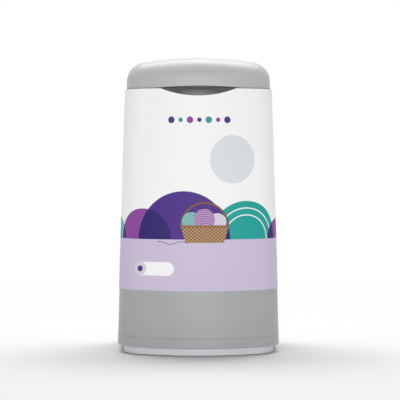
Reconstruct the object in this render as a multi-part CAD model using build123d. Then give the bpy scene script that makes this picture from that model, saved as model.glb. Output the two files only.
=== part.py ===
"""Free-standing litter disposal pail with a tip-back head, a domed lid and a film roll.

Frame: +Z up, the front faces -Y, and the origin is on the floor below the middle of the pail.
Lengths are in millimetres and angles in degrees.
"""
from build123d import *
from math import atan2, cos, pi, radians, sin, sqrt, tan
import os

os.makedirs("parts", exist_ok=True)

# ---------------------------------------------------------------- driving dimensions

# Outline of the pail, carried down to the floor
pail_width = 303.4
pail_depth = 251.0
pail_draft = 1.78              # lean of every wall, in degrees
front_bow_radius = 260.0
front_corner_radius = 70.0
rear_corner_radius = 60.0

# Heights above the floor
plinth_top = 15.0
seam_height = 33.0
sleeve_bottom = 120.0
rim_height = 490.0
lid_height = 60.0

# Edges and clearances
edge_round = 0.8               # radius on the outer edges of the moulded shells
gap = 0.3                      # between pieces that lie close without touching
running_fit = 0.05             # radial, round a pin that something turns on
fixed_fit = 0.02               # radial, round a pin or screw that stays put
foot_fit = 0.1                 # radial, round a rubber foot in its pocket

# Plinth, feet and base tray
plinth_setback = 11.0
plinth_wall = 3.0
foot_radius = 11.0
foot_thickness = 3.0
foot_proud = 1.0               # how far the feet stand below the plinth
foot_rim = 3.0                 # plinth material left round a foot's pocket
floor_thickness = 3.0
spigot_height = 12.0
spigot_wall = 2.5
base_screw_margin = 22.0

# Body shell
shell_wall = 3.0
rim_thickness = 4.0
scoop_depth = 10.0
scoop_drop = 13.5              # lowest point of the finger scoop, below the rim
scoop_half_width = 69.0
scoop_wall = 2.2

# Paperboard sleeve
sleeve_thickness = 0.8
sleeve_gap = 0.2
sleeve_top_gap = 0.5
sleeve_notch_half_width = 80.0
sleeve_notch_depth = 24.0

# Screws
screw_radius = 1.6
screw_head_radius = 3.2
screw_head_height = 2.2
screw_length = 11.0
boss_radius = 5.0

# Rear hinge, shared by the head and the lid
knuckle_radius = 6.2
hinge_pin_radius = 2.0
knuckle_length = 11.0
knuckle_gap = 0.5
knuckle_start = 42.0           # inner end of the innermost knuckle, from the middle
hinge_drop = 1.0               # hinge axis below the rim
ear_foot = 18.0                # height of an ear's root on the back wall

# Head: deck, spigot and gasket
head_gasket_thickness = 1.5
head_gasket_width = 5.0
deck_thickness = 3.5
deck_margin = 0.7              # deck edge inside the lid's skirt
head_skirt_drop = 12.0
head_skirt_wall = 2.4
head_skirt_gap = 1.0

# Hopper and its two flaps
hopper_side_margin = 63.7      # pail's side to the funnel's top edge
hopper_front_margin = 52.5     # pail's front to the funnel's top edge
hopper_rear_margin = 32.0      # funnel's top edge to the film roll's axis
hopper_front_straight = 56.0   # half of the funnel's straight front edge
hopper_side_taper = 13.0       # top edge to throat, at each side
hopper_front_taper = 11.0      # top edge to throat, at front and back
hopper_throat_corner = 14.0
hopper_fall = 43.0             # deck top to throat
hopper_wall = 2.2
hopper_flange = 4.5
flange_thickness = 2.0
front_lobe_x = 48.0
flap_pin_radius = 2.0
flap_barrel_radius = 3.6
flap_thickness = 2.2
flap_side_gap = 1.0
flap_middle_gap = 1.2
flap_rib_height = 5.0
flap_rib_wall = 1.6
flap_rib_count = 5
cheek_thickness = 4.0
cheek_drop = 6.0
pin_overhang = 3.0
clip_radius = 4.0
clip_thickness = 0.8
lip_width = 8.0
lip_thickness = 1.5
spring_wire_radius = 0.55
spring_turns = 8
spring_gap = 0.5

# Film roll and its cradle
roll_radius = 19.0
roll_side_margin = 63.7        # pail's side to the end of the roll
core_outer_radius = 12.5
core_inner_radius = 11.0
roll_rear_margin = 60.5        # pail's back to the roll's axis
roll_axis_above_rim = 10.0
band_width = 40.0
band_thickness = 0.3
hub_flange_radius = 21.0
hub_flange_thickness = 2.0
hub_plug_length = 14.0
journal_radius = 4.0
journal_length = 6.5
cradle_gap = 1.5               # between the hub flange and the cradle's trough
cradle_wall = 2.0
cradle_cheek = 4.0
cradle_end_gap = 1.5
cradle_ear_length = 13.0
cradle_ear_half_depth = 16.0
cradle_screw_pitch = 20.0

# Film cutter on the deck
cutter_side_margin = 43.7      # pail's side to the middle of the cutter
cutter_overlap = 5.0           # how far the cutter reaches past the front corner's centre
cutter_width = 14.0
cutter_length = 44.0
cutter_height = 9.0
cutter_slot = 3.0
cutter_slot_depth = 6.0
blade_thickness = 0.5
blade_width = 8.0

# Slide bolt that locks the head to the pail
bolt_travel = 5.5
bolt_thickness = 3.0
bolt_half_width = 12.0
bolt_nose_thickness = 3.5
bolt_rest_gap = 2.5            # nose clear of the scoop's block when unlocked
bolt_shoulder = 2.0            # how far the cap and shoulder overhang the slot's ends
bolt_cap_depth = 4.5
bolt_cap_gap = 3.3             # behind the lid's gasket, with the bolt pushed home
bolt_cap_thickness = 2.5
bolt_grip_height = 4.0

# Lid
lid_setback = 2.5              # lid skirt inside the pail's outline
lid_seat_gap = 0.5
lid_wall = 2.6
crown_radius = 640.0
shoulder_radius = 36.0
lip_arch_half_width = 80.0
lip_arch_rise = 3.6
liner_setback = 10.5           # liner wall inside the lid's skirt
liner_wall = 2.0
liner_round = 6.0              # top edge, so that its corners keep clear of the lid's shoulder
liner_top_above_rim = 37.0
lid_gasket_thickness = 2.7
lid_gasket_width = 4.0
lid_screw_x = 70.0
lid_screw_y = 42.0

# ---------------------------------------------------------------- the pail's outline

lean = tan(radians(pail_draft))
bow_centre_y = front_bow_radius - pail_depth / 2
corner_x = pail_width / 2 - front_corner_radius
corner_reach = front_bow_radius - front_corner_radius
corner_y = bow_centre_y - sqrt(corner_reach**2 - corner_x**2)
bow_end_angle = atan2(corner_y - bow_centre_y, corner_x)
rear_corner_x = pail_width / 2 - rear_corner_radius
rear_corner_y = pail_depth / 2 - rear_corner_radius


def on_circle(x, y, radius, angle):
    """Point at an angle, in radians, on a circle about (x, y)."""
    return (x + radius * cos(angle), y + radius * sin(angle))


def outline(z, inset):
    """Outline at height z, moved inward by inset: all arcs keep their centres."""
    step = lean * z + inset
    rear_radius = rear_corner_radius - step
    bow_end = on_circle(0, bow_centre_y, front_bow_radius - step, bow_end_angle)
    corner_middle = on_circle(corner_x, corner_y, front_corner_radius - step, bow_end_angle / 2)
    side_front = (pail_width / 2 - step, corner_y)
    side_rear = (pail_width / 2 - step, rear_corner_y)
    rear_middle = on_circle(rear_corner_x, rear_corner_y, rear_radius, pi / 4)
    back_end = (rear_corner_x, pail_depth / 2 - step)
    apex = (0, step - pail_depth / 2)
    half = [
        ThreePointArc(bow_end, corner_middle, side_front),
        Line(side_front, side_rear),
        ThreePointArc(side_rear, rear_middle, back_end),
    ]
    front = ThreePointArc((-bow_end[0], bow_end[1]), apex, bow_end)
    back = Line(back_end, (-back_end[0], back_end[1]))
    edges = [front, back] + half + [mirror(edge, about=Plane.YZ) for edge in half]
    return Pos(0, 0, z) * make_face(edges)


def walls(low, high, inset):
    """Solid between two heights that follows the pail's leaning walls, moved inward by inset."""
    return extrude(outline(low, inset), high - low, taper=pail_draft)


def ring(low, high, inset, thickness):
    """Hollow band that follows the pail's walls."""
    return walls(low, high, inset) - walls(low, high, inset + thickness)


def post(x, y, low, high, radius):
    """Upright round post between two heights."""
    return Pos(x, y, low) * extrude(Circle(radius), high - low)


def block(x, y, z):
    """Box given by its low and high value along each axis."""
    size = Box(x[1] - x[0], y[1] - y[0], z[1] - z[0], align=(Align.MIN,) * 3)
    return Pos(x[0], y[0], z[0]) * size


def rod(x0, x1, y, z, radius):
    """Round rod along X."""
    return Pos(x0, y, z) * Rot(0, 90, 0) * extrude(Circle(radius), x1 - x0)


def soften(solid, radius, *levels):
    """Round the outline edges of a solid at its lowest (0) or highest (-1) level."""
    rings = solid.edges().filter_by(Axis.Z, reverse=True).group_by(Axis.Z)
    return fillet([edge for level in levels for edge in rings[level]], radius)


def both_sides(shape):
    """The shape and its mirror image across the middle of the pail."""
    return shape + mirror(shape, about=Plane.YZ)


def save(name, shape):
    """Write one sub-part."""
    shape.label = name
    export_step(shape, f"parts/{name}.step")


# ---------------------------------------------------------------- screws

def screw(x, y, z, facing=1):
    """Pan-head screw seated at z, its head above the seat, or below it if facing is -1."""
    head = extrude(Circle(screw_head_radius), screw_head_height)
    head = fillet(head.edges().sort_by(Axis.Z)[-1], screw_head_height / 2)
    shank = extrude(Circle(screw_radius), -screw_length)
    slot = screw_radius / 2
    depth = screw_head_height / 2
    cross = Box(3 * screw_radius, slot, depth) + Box(slot, 3 * screw_radius, depth)
    whole = head + shank - Pos(0, 0, screw_head_height - depth / 2) * cross
    return Pos(x, y, z) * Rot(0 if facing > 0 else 180, 0, 0) * whole


def screws(places, z, facing=1):
    """Group of like screws."""
    return Part() + [screw(x, y, z, facing) for x, y in places]


def holes(places, low, high, radius=None):
    """Upright holes, for screws unless a radius is given."""
    size = screw_radius + fixed_fit if radius is None else radius
    return Part() + [post(x, y, low, high, size) for x, y in places]


# ---------------------------------------------------------------- plinth and feet

foot_inset = plinth_setback + plinth_wall + foot_radius + foot_rim + lean * plinth_top
front_foot = on_circle(corner_x, corner_y, front_corner_radius - foot_inset, -pi / 4)
rear_foot = on_circle(rear_corner_x, rear_corner_y, rear_corner_radius - foot_inset, pi / 4)
foot_places = [(side * x, y) for side in (-1, 1) for x, y in (front_foot, rear_foot)]

base_screw_x = pail_width / 2 - plinth_setback - base_screw_margin
base_screw_y = pail_depth / 2 - plinth_setback - base_screw_margin
side_screw_y = (corner_y + rear_corner_y) / 2
base_screw_places = [
    (-base_screw_x, side_screw_y),
    (base_screw_x, side_screw_y),
    (0, -base_screw_y),
    (0, base_screw_y),
]
plinth_roof = plinth_top - plinth_wall

plinth = soften(walls(foot_proud, plinth_top, plinth_setback), edge_round, 0)
plinth -= walls(foot_proud, plinth_roof, plinth_setback + plinth_wall)
plinth += holes(foot_places, foot_proud, plinth_roof, foot_radius + foot_rim)
plinth -= holes(foot_places, foot_proud, foot_thickness, foot_radius + foot_fit)
plinth -= holes(base_screw_places, plinth_roof, plinth_top)
save("plinth", plinth)

save("rubber_feet", holes(foot_places, 0, foot_thickness, foot_radius))
save("plinth_screws", screws(base_screw_places, plinth_roof, facing=-1))

# ---------------------------------------------------------------- base tray

floor_top = plinth_top + floor_thickness
spigot_inset = shell_wall + gap
tray_boss_top = plinth_roof + screw_length + floor_thickness

base_tray = soften(walls(plinth_top, seam_height, 0), edge_round, 0, -1)
base_tray += walls(seam_height, seam_height + spigot_height, spigot_inset)
base_tray -= walls(floor_top, seam_height + spigot_height, spigot_inset + spigot_wall)
base_tray += holes(base_screw_places, plinth_top, tray_boss_top, boss_radius)
base_tray -= holes(base_screw_places, plinth_top, plinth_roof + screw_length)
save("base_tray", base_tray)

# ---------------------------------------------------------------- rear hinge geometry

hinge_y = pail_depth / 2 - lean * plinth_top - knuckle_radius
hinge_z = rim_height - hinge_drop
knuckle_step = knuckle_length + knuckle_gap
lid_knuckle_x = knuckle_start
head_knuckle_x = lid_knuckle_x + knuckle_step
ear_x = head_knuckle_x + knuckle_step
ear_end_x = ear_x + knuckle_length
rim_back_y = pail_depth / 2 - lean * rim_height


def knuckle(x, root, bore):
    """Hinge knuckle at x and its arm, whose end face is given by (y, z) points at the root."""
    arm = make_hull((Pos(hinge_y, hinge_z) * Circle(knuckle_radius)).edges() + root.edges())
    solid = extrude(Plane.YZ.offset(x) * arm, knuckle_length)
    return solid - rod(x, x + knuckle_length, hinge_y, hinge_z, bore)


# ---------------------------------------------------------------- body shell

scoop_back_y = lean * rim_height - pail_depth / 2 + scoop_depth
scoop_radius = (scoop_half_width**2 + scoop_drop**2) / (2 * scoop_drop)
scoop_centre_z = rim_height - scoop_drop + scoop_radius
rim_width = scoop_depth + scoop_wall


def scoop(radius, back):
    """Round trough across the front, its lowest line radius below the scoop's centre."""
    trough = Rot(90, 0, 0) * extrude(Circle(radius), pail_depth)
    front = block((-pail_width, pail_width), (-pail_depth, back), (0, rim_height))
    return Pos(0, 0, scoop_centre_z) * trough & front


ear_root_y = rim_back_y - shell_wall / 2
ear_root = Polygon(
    (ear_root_y, hinge_z - ear_foot),
    (ear_root_y + shell_wall / 2, hinge_z - ear_foot),
    (ear_root_y + shell_wall / 2, rim_height - sleeve_top_gap),
    (ear_root_y, rim_height - sleeve_top_gap),
    align=None,
)

outer_form = soften(walls(seam_height, rim_height, 0), edge_round, 0)
body_shell = outer_form - walls(seam_height, rim_height - rim_thickness, shell_wall)
body_shell += scoop(scoop_radius + scoop_wall, scoop_back_y + scoop_wall) & outer_form
body_shell -= walls(rim_height - rim_thickness, rim_height, rim_width)
body_shell -= scoop(scoop_radius, scoop_back_y)
body_shell += both_sides(knuckle(ear_x, ear_root, hinge_pin_radius + fixed_fit))
save("body_shell", body_shell)

# ---------------------------------------------------------------- printed sleeve

sleeve_top = rim_height - sleeve_top_gap
sleeve_inset = -sleeve_gap - sleeve_thickness

printed_sleeve = ring(sleeve_bottom, sleeve_top, sleeve_inset, sleeve_thickness)
printed_sleeve -= scoop(scoop_radius + sleeve_top_gap, 0)
printed_sleeve -= block(
    (-sleeve_notch_half_width, sleeve_notch_half_width),
    (0, pail_depth),
    (rim_height - sleeve_notch_depth, rim_height),
)
save("printed_sleeve", printed_sleeve)

# ---------------------------------------------------------------- hinge pins

pin_start = lid_knuckle_x - knuckle_gap
hinge_pin = rod(pin_start, ear_end_x, hinge_y, hinge_z, hinge_pin_radius)
save("hinge_pins", both_sides(hinge_pin))

# ---------------------------------------------------------------- heights and insets in the head

deck_bottom = rim_height + head_gasket_thickness
deck_top = deck_bottom + deck_thickness
deck_inset = lid_setback + lid_wall + deck_margin
head_skirt_inset = rim_width + head_skirt_gap
flange_top = deck_top + flange_thickness
lid_bottom = rim_height + lid_seat_gap
throat_z = deck_top - hopper_fall

# The roll lies across the back, and the funnel fills the deck in front of it
roll_length = pail_width - 2 * roll_side_margin
roll_axis_y = pail_depth / 2 - roll_rear_margin
roll_axis_z = rim_height + roll_axis_above_rim
hopper_front_y = hopper_front_margin - pail_depth / 2
hopper_rear_y = roll_axis_y - hopper_rear_margin
hopper_centre_y = (hopper_front_y + hopper_rear_y) / 2
hopper_top_width = pail_width - 2 * hopper_side_margin
hopper_top_depth = hopper_rear_y - hopper_front_y
hopper_throat_width = hopper_top_width - 2 * hopper_side_taper
hopper_throat_depth = hopper_top_depth - 2 * hopper_front_taper
half_top = hopper_top_width / 2
half_throat = hopper_throat_width / 2
hopper_top_corner = half_top - hopper_front_straight

# Lid liner and its gasket
liner_bottom = deck_top + gap + lid_gasket_thickness
liner_inset = lid_setback + liner_setback
lid_gasket_inset = liner_inset - (lid_gasket_width - liner_wall) / 2

# Screw lobes on the hopper's flange, and where the cradle's ears are screwed down
lobe_offset = hopper_wall + screw_head_radius
front_lobe_y = hopper_front_y - lobe_offset
side_lobe_x = half_top + lobe_offset
lobe_places = [
    (-front_lobe_x, front_lobe_y),
    (front_lobe_x, front_lobe_y),
    (-side_lobe_x, hopper_centre_y),
    (side_lobe_x, hopper_centre_y),
]
cheek_x = roll_length / 2 + hub_flange_thickness + cradle_end_gap
cradle_end_x = cheek_x + cradle_cheek
cradle_screw_x = cradle_end_x + cradle_ear_length / 2
cradle_screw_places = [
    (side * cradle_screw_x, roll_axis_y + end * cradle_screw_pitch / 2)
    for side in (-1, 1)
    for end in (-1, 1)
]
trough_inner = hub_flange_radius + cradle_gap
trough_outer = trough_inner + cradle_wall

# Slide bolt: drawn back at rest, so that its nose is clear of the scoop's block.
# Pushed home, the ends of its cap stop behind the lid's gasket.
bolt_cap_x = bolt_half_width + gap + bolt_shoulder
seal_radius = front_bow_radius - lean * liner_bottom - lid_gasket_inset - lid_gasket_width
seal_front_y = bow_centre_y - sqrt(seal_radius**2 - bolt_cap_x**2)
bolt_front_y = seal_front_y + bolt_travel + bolt_cap_gap
bolt_back_y = bolt_front_y + bolt_thickness
bolt_tip_y = scoop_back_y + scoop_wall + bolt_rest_gap
bolt_nose_top = scoop_centre_z - scoop_radius - scoop_wall - gap


def tub(width, depth, corner):
    """Rounded rectangle about the hopper's middle."""
    return Pos(0, hopper_centre_y) * RectangleRounded(width, depth, corner)


def clear_of_rim(arm, low):
    """Hinge arm cut back to pass over the pail's rim at a height, and to swing clear of it."""
    swing = hinge_y - rim_back_y - 2 * gap
    rim_side = block((0, pail_width), (0, hinge_y), (0, low))
    return arm - (rim_side - rod(0, pail_width, hinge_y, hinge_z, swing))


# ---------------------------------------------------------------- head frame

hopper_hole = Pos(0, 0, deck_bottom - head_skirt_drop) * extrude(
    tub(
        hopper_top_width + 2 * (hopper_wall + gap),
        hopper_top_depth + 2 * (hopper_wall + gap),
        hopper_top_corner + hopper_wall + gap,
    ),
    head_skirt_drop + deck_thickness,
)
cradle_hole = block(
    (-cradle_end_x - gap, cradle_end_x + gap),
    (roll_axis_y - trough_outer - gap, roll_axis_y + trough_outer + gap),
    (deck_bottom, deck_top),
)
bolt_slot = block(
    (-bolt_half_width - gap, bolt_half_width + gap),
    (bolt_front_y - bolt_travel - gap, bolt_back_y + gap),
    (deck_bottom, deck_top),
)
deck_back_y = pail_depth / 2 - lean * deck_top - deck_inset
head_arm_root = Polygon(
    (deck_back_y - knuckle_radius, deck_bottom),
    (deck_back_y, deck_bottom),
    (deck_back_y, deck_top),
    (deck_back_y - knuckle_radius, deck_top),
    align=None,
)
head_bore = hinge_pin_radius + running_fit
head_arm = clear_of_rim(knuckle(head_knuckle_x, head_arm_root, head_bore), deck_bottom)
head_screw_places = lobe_places + cradle_screw_places
head_screw_end = deck_top + flange_thickness - screw_length
head_boss_bottom = head_screw_end - flange_thickness

head_frame = walls(deck_bottom, deck_top, deck_inset)
head_frame += ring(deck_bottom - head_skirt_drop, deck_bottom, head_skirt_inset, head_skirt_wall)
head_frame += holes(head_screw_places, head_boss_bottom, deck_bottom, boss_radius)
head_frame -= hopper_hole + cradle_hole + bolt_slot
head_frame -= holes(head_screw_places, head_screw_end, deck_top)
head_frame += both_sides(head_arm)
save("head_frame", head_frame)

head_gasket_inset = deck_inset + deck_margin
head_gasket = ring(rim_height, deck_bottom, head_gasket_inset, head_gasket_width)
save("head_gasket", head_gasket)

# ---------------------------------------------------------------- hopper

pivot_z = throat_z - flap_barrel_radius - gap
pivot_offset = hopper_throat_depth / 2 + hopper_wall / 2
front_pivot_y = hopper_centre_y - pivot_offset
rear_pivot_y = hopper_centre_y + pivot_offset
cheek_end_x = half_throat + cheek_thickness
cheek_end_y = pivot_offset + flap_barrel_radius


def funnel(skin):
    """Solid funnel from the flange to the throat, grown outward by skin."""
    top = tub(
        hopper_top_width + 2 * skin,
        hopper_top_depth + 2 * skin,
        hopper_top_corner + skin,
    )
    throat = tub(
        hopper_throat_width + 2 * skin,
        hopper_throat_depth + 2 * skin,
        hopper_throat_corner + skin,
    )
    return loft([Pos(0, 0, throat_z) * throat, Pos(0, 0, flange_top) * top])


flange = tub(
    hopper_top_width + 2 * (hopper_wall + hopper_flange),
    hopper_top_depth + 2 * (hopper_wall + hopper_flange),
    hopper_top_corner + hopper_wall + hopper_flange,
)
cheek = block(
    (half_throat, cheek_end_x),
    (hopper_centre_y - cheek_end_y, hopper_centre_y + cheek_end_y),
    (pivot_z - cheek_drop, throat_z + cheek_drop),
)
pivots = [front_pivot_y, rear_pivot_y]

hopper = funnel(hopper_wall) + Pos(0, 0, deck_top) * extrude(flange, flange_thickness)
hopper += holes(lobe_places, deck_top, flange_top, boss_radius)
hopper += both_sides(cheek)
hopper -= funnel(0)
hopper -= holes(lobe_places, deck_top, flange_top)
for pivot_y in pivots:
    bore = flap_pin_radius + fixed_fit
    hopper -= rod(-cheek_end_x, cheek_end_x, pivot_y, pivot_z, bore)
save("hopper", hopper)
save("hopper_screws", screws(lobe_places, flange_top))

# ---------------------------------------------------------------- flaps, their pins and springs

flap_half = half_throat - flap_side_gap
spring_length = 2 * spring_wire_radius * spring_turns
spring_outer = flap_pin_radius + gap + 2 * spring_wire_radius
barrel_half = flap_half - spring_length - spring_gap
flap_reach = pivot_offset - flap_middle_gap / 2
lip_reach = pivot_offset - gap
rib_reach = flap_reach - lip_width


def flap():
    """Trap flap in its own frame: hinged at the origin, reaching along +Y."""
    half = flap_thickness / 2
    plate = block((-flap_half, flap_half), (0, flap_reach), (-half, half))
    clearance = spring_outer + gap
    notch = block((barrel_half, flap_half), (-clearance, clearance), (-clearance, clearance))
    leaf = plate - both_sides(notch) + rod(-barrel_half, barrel_half, 0, 0, flap_barrel_radius)
    for i in range(flap_rib_count):
        x = barrel_half * (2 * i / (flap_rib_count - 1) - 1)
        x -= flap_rib_wall * i / (flap_rib_count - 1)
        leaf += block((x, x + flap_rib_wall), (0, rib_reach), (-half - flap_rib_height, -half))
    return leaf - rod(-flap_half, flap_half, 0, 0, flap_pin_radius + running_fit)


def flap_lip():
    """Soft lip on the flap's free edge, in the flap's frame."""
    low = flap_thickness / 2
    return block((-flap_half, flap_half), (lip_reach - lip_width, lip_reach), (low, low + lip_thickness))


def spring(x, y):
    """Close-wound torsion spring on a pin, with its fixed leg standing up against the hopper."""
    turn = Circle(spring_wire_radius)
    mean = flap_pin_radius + gap + spring_wire_radius
    pitch = 2 * spring_wire_radius
    outward = -1 if y < hopper_centre_y else 1
    coils = Rectangle(pitch * (spring_turns - 1), spring_wire_radius, align=Align.MIN)
    coils = Pos(0, mean - spring_wire_radius / 2) * coils
    for i in range(spring_turns):
        coils += Pos(i * pitch, mean) * turn
    coil = revolve(coils, Axis.X)
    leg_top = throat_z - pivot_z + flap_barrel_radius
    leg_x = spring_wire_radius / 2
    leg = post(leg_x, outward * mean, -spring_wire_radius, leg_top, spring_wire_radius)
    return Pos(x, y, pivot_z) * (coil + leg)


def front_side(shape):
    """Shape in a flap's frame, placed at the front of the throat."""
    return Pos(0, front_pivot_y, pivot_z) * shape


def rear_side(shape):
    """Shape in a flap's frame, mirrored and placed at the back of the throat."""
    return Pos(0, rear_pivot_y, pivot_z) * mirror(shape, about=Plane.XZ)


save("front_flap", front_side(flap()))
save("front_flap_lip", front_side(flap_lip()))
save("rear_flap", rear_side(flap()))
save("rear_flap_lip", rear_side(flap_lip()))

pin_end_x = cheek_end_x + pin_overhang
flap_pins = [rod(-pin_end_x, pin_end_x, y, pivot_z, flap_pin_radius) for y in pivots]
save("flap_pins", Part() + flap_pins)

clip = Circle(clip_radius) - Circle(flap_pin_radius + fixed_fit)
clip -= Rectangle(flap_pin_radius, clip_radius, align=(Align.CENTER, Align.MAX))
clip = extrude(Plane.YZ.offset(cheek_end_x + gap) * clip, clip_thickness)
save("pin_clips", both_sides(Part() + [Pos(0, y, pivot_z) * clip for y in pivots]))

spring_x = barrel_half + spring_gap + spring_wire_radius
springs = Part() + [spring(spring_x, y) for y in pivots]
save("flap_springs", both_sides(springs))

# ---------------------------------------------------------------- film roll and cradle

def tube(outer, inner, length):
    """Tube along X, centred on the roll's axis."""
    half = length / 2
    whole = rod(-half, half, roll_axis_y, roll_axis_z, outer)
    return whole - rod(-half, half, roll_axis_y, roll_axis_z, inner)


save("film_roll", tube(roll_radius, core_outer_radius, roll_length))
save("roll_core", tube(core_outer_radius, core_inner_radius, roll_length))
save("roll_band", tube(roll_radius + band_thickness, roll_radius, band_width))

roll_end = roll_length / 2
hub_face = roll_end + hub_flange_thickness
plug_radius = core_inner_radius - fixed_fit
hub = rod(roll_end - hub_plug_length, roll_end, roll_axis_y, roll_axis_z, plug_radius)
hub -= rod(roll_end - hub_plug_length, roll_end, roll_axis_y, roll_axis_z, journal_radius)
hub += rod(roll_end, hub_face, roll_axis_y, roll_axis_z, hub_flange_radius)
hub += rod(hub_face, hub_face + journal_length, roll_axis_y, roll_axis_z, journal_radius)
save("roll_hubs", both_sides(hub))

trough_x = (-cradle_end_x, cradle_end_x)
cradle_top = roll_axis_z + journal_radius
cheek_half = journal_radius + cradle_wall
slot_radius = journal_radius + running_fit

trough = rod(*trough_x, roll_axis_y, roll_axis_z, trough_outer)
trough -= rod(-cheek_x, cheek_x, roll_axis_y, roll_axis_z, trough_inner)
trough -= block(trough_x, (0, pail_depth), (flange_top, cradle_top + pail_depth))
upright = block(
    (cheek_x, cradle_end_x),
    (roll_axis_y - cheek_half, roll_axis_y + cheek_half),
    (deck_top, cradle_top),
)
ear = block(
    (cradle_end_x, cradle_end_x + cradle_ear_length),
    (roll_axis_y - cradle_ear_half_depth, roll_axis_y + cradle_ear_half_depth),
    (deck_top, flange_top),
)
slot_x = (-hub_face - journal_length - gap, hub_face + journal_length + gap)
journal_slot = rod(*slot_x, roll_axis_y, roll_axis_z, slot_radius)
journal_slot += block(
    slot_x,
    (roll_axis_y - slot_radius, roll_axis_y + slot_radius),
    (roll_axis_z, cradle_top),
)
roll_cradle = trough + both_sides(upright + ear) - journal_slot
roll_cradle -= holes(cradle_screw_places, deck_top, flange_top)
save("roll_cradle", roll_cradle)
save("cradle_screws", screws(cradle_screw_places, flange_top))

# ---------------------------------------------------------------- film cutter

cutter_x = pail_width / 2 - cutter_side_margin
cutter_low_x = cutter_x - cutter_width / 2
cutter_low_y = corner_y - cutter_overlap
cutter_middle_y = cutter_low_y + cutter_length / 2
cutter_top = deck_top + cutter_height
slot_floor = cutter_top - cutter_slot_depth
cutter = block(
    (cutter_low_x, cutter_low_x + cutter_width),
    (cutter_low_y, cutter_low_y + cutter_length),
    (deck_top, cutter_top),
)
cutter = fillet(cutter.edges().filter_by(Axis.Z), cutter_slot)
cutter -= block(
    (cutter_x - cutter_slot / 2, cutter_x + cutter_slot / 2),
    (cutter_low_y, cutter_low_y + cutter_length),
    (slot_floor, cutter_top),
)
blade_seat = block(
    (cutter_low_x + cutter_slot, cutter_low_x + cutter_width - cutter_slot),
    (cutter_middle_y - blade_thickness / 2, cutter_middle_y + blade_thickness / 2),
    (slot_floor - cutter_slot / 2, slot_floor - cutter_slot / 2 + blade_width / 2),
)
save("cutter_housing", cutter - blade_seat)
save("cutter_blade", blade_seat)

# ---------------------------------------------------------------- slide bolt

bolt_nose_bottom = bolt_nose_top - bolt_nose_thickness
bolt_cap_top = deck_top + gap + bolt_cap_thickness
bolt_grip = (bolt_front_y + bolt_cap_depth / 4, bolt_front_y + bolt_cap_depth * 3 / 4)

slide_bolt = block(
    (-bolt_half_width, bolt_half_width),
    (bolt_front_y, bolt_back_y),
    (bolt_nose_bottom, bolt_cap_top),
)
slide_bolt += block(
    (-bolt_half_width, bolt_half_width),
    (bolt_tip_y, bolt_front_y),
    (bolt_nose_bottom, bolt_nose_top),
)
slide_bolt += block(
    (-bolt_cap_x, bolt_cap_x),
    (bolt_front_y, bolt_front_y + bolt_cap_depth),
    (deck_top + gap, bolt_cap_top),
)
slide_bolt += block(
    (-bolt_cap_x, bolt_cap_x),
    (bolt_front_y, bolt_back_y),
    (deck_bottom - gap - bolt_cap_thickness, deck_bottom - gap),
)
slide_bolt += block(
    (-bolt_half_width, bolt_half_width),
    bolt_grip,
    (bolt_cap_top, bolt_cap_top + bolt_grip_height),
)
save("slide_bolt", slide_bolt)

# ---------------------------------------------------------------- lid

lid_top = rim_height + lid_height


def dome(inset):
    """Solid lid form, moved inward by inset: leaning walls, a round shoulder, a shallow crown."""
    form = walls(lid_bottom, lid_top + shoulder_radius, lid_setback + inset)
    form &= Pos(0, 0, lid_top - crown_radius) * Sphere(crown_radius - inset)
    shoulder = form.faces().sort_by(Axis.Z)[-1].edges()
    return fillet(shoulder, shoulder_radius - inset)


lid_wall_y = pail_depth / 2 - lean * lid_bottom - lid_setback - lid_wall / 2
lid_arm_root = Polygon(
    (lid_wall_y, deck_bottom),
    (lid_wall_y + lid_wall / 4, deck_bottom),
    (lid_wall_y + lid_wall / 4, deck_bottom + knuckle_radius),
    (lid_wall_y, deck_bottom + knuckle_radius),
    align=None,
)
lid_arm = clear_of_rim(knuckle(lid_knuckle_x, lid_arm_root, head_bore), lid_bottom)
arm_notch = block(
    (head_knuckle_x - knuckle_gap, head_knuckle_x + knuckle_length + knuckle_gap),
    (0, pail_depth),
    (lid_bottom, hinge_z + knuckle_radius + gap),
)
lip_radius = (lip_arch_half_width**2 + lip_arch_rise**2) / (2 * lip_arch_rise)
lip_arch = Pos(0, 0, lid_bottom + lip_arch_rise - lip_radius) * (
    Rot(90, 0, 0) * extrude(Circle(lip_radius), pail_depth)
)

liner_top = rim_height + liner_top_above_rim
liner_seat = liner_top - liner_wall
lid_screw_places = [
    (side * lid_screw_x, end * lid_screw_y) for side in (-1, 1) for end in (-1, 1)
]
outer_dome = dome(0)
lid_bosses = holes(lid_screw_places, liner_top, lid_top, boss_radius) & dome(lid_wall / 2)

lid_shell = outer_dome - dome(lid_wall) + lid_bosses
lid_shell -= holes(lid_screw_places, liner_top, liner_seat + screw_length)
lid_shell -= lip_arch + both_sides(arm_notch)
lid_shell += both_sides(lid_arm)
save("lid_shell", lid_shell)

lid_liner = soften(walls(liner_bottom, liner_top, liner_inset), liner_round, -1)
liner_hollow = walls(liner_bottom, liner_seat, liner_inset + liner_wall)
lid_liner -= soften(liner_hollow, liner_round - liner_wall, -1)
lid_liner -= holes(lid_screw_places, liner_seat, liner_top)
save("lid_liner", lid_liner)

lid_gasket = ring(deck_top + gap, liner_bottom, lid_gasket_inset, lid_gasket_width)
save("lid_gasket", lid_gasket)
save("lid_screws", screws(lid_screw_places, liner_seat, facing=-1))
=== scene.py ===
"""Free-standing litter disposal pail: how each of its pieces looks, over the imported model.

Frame: metres, +Z up, the front faces -Y, the floor is z = 0 and the pail stands over the origin.
"""
import math

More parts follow.
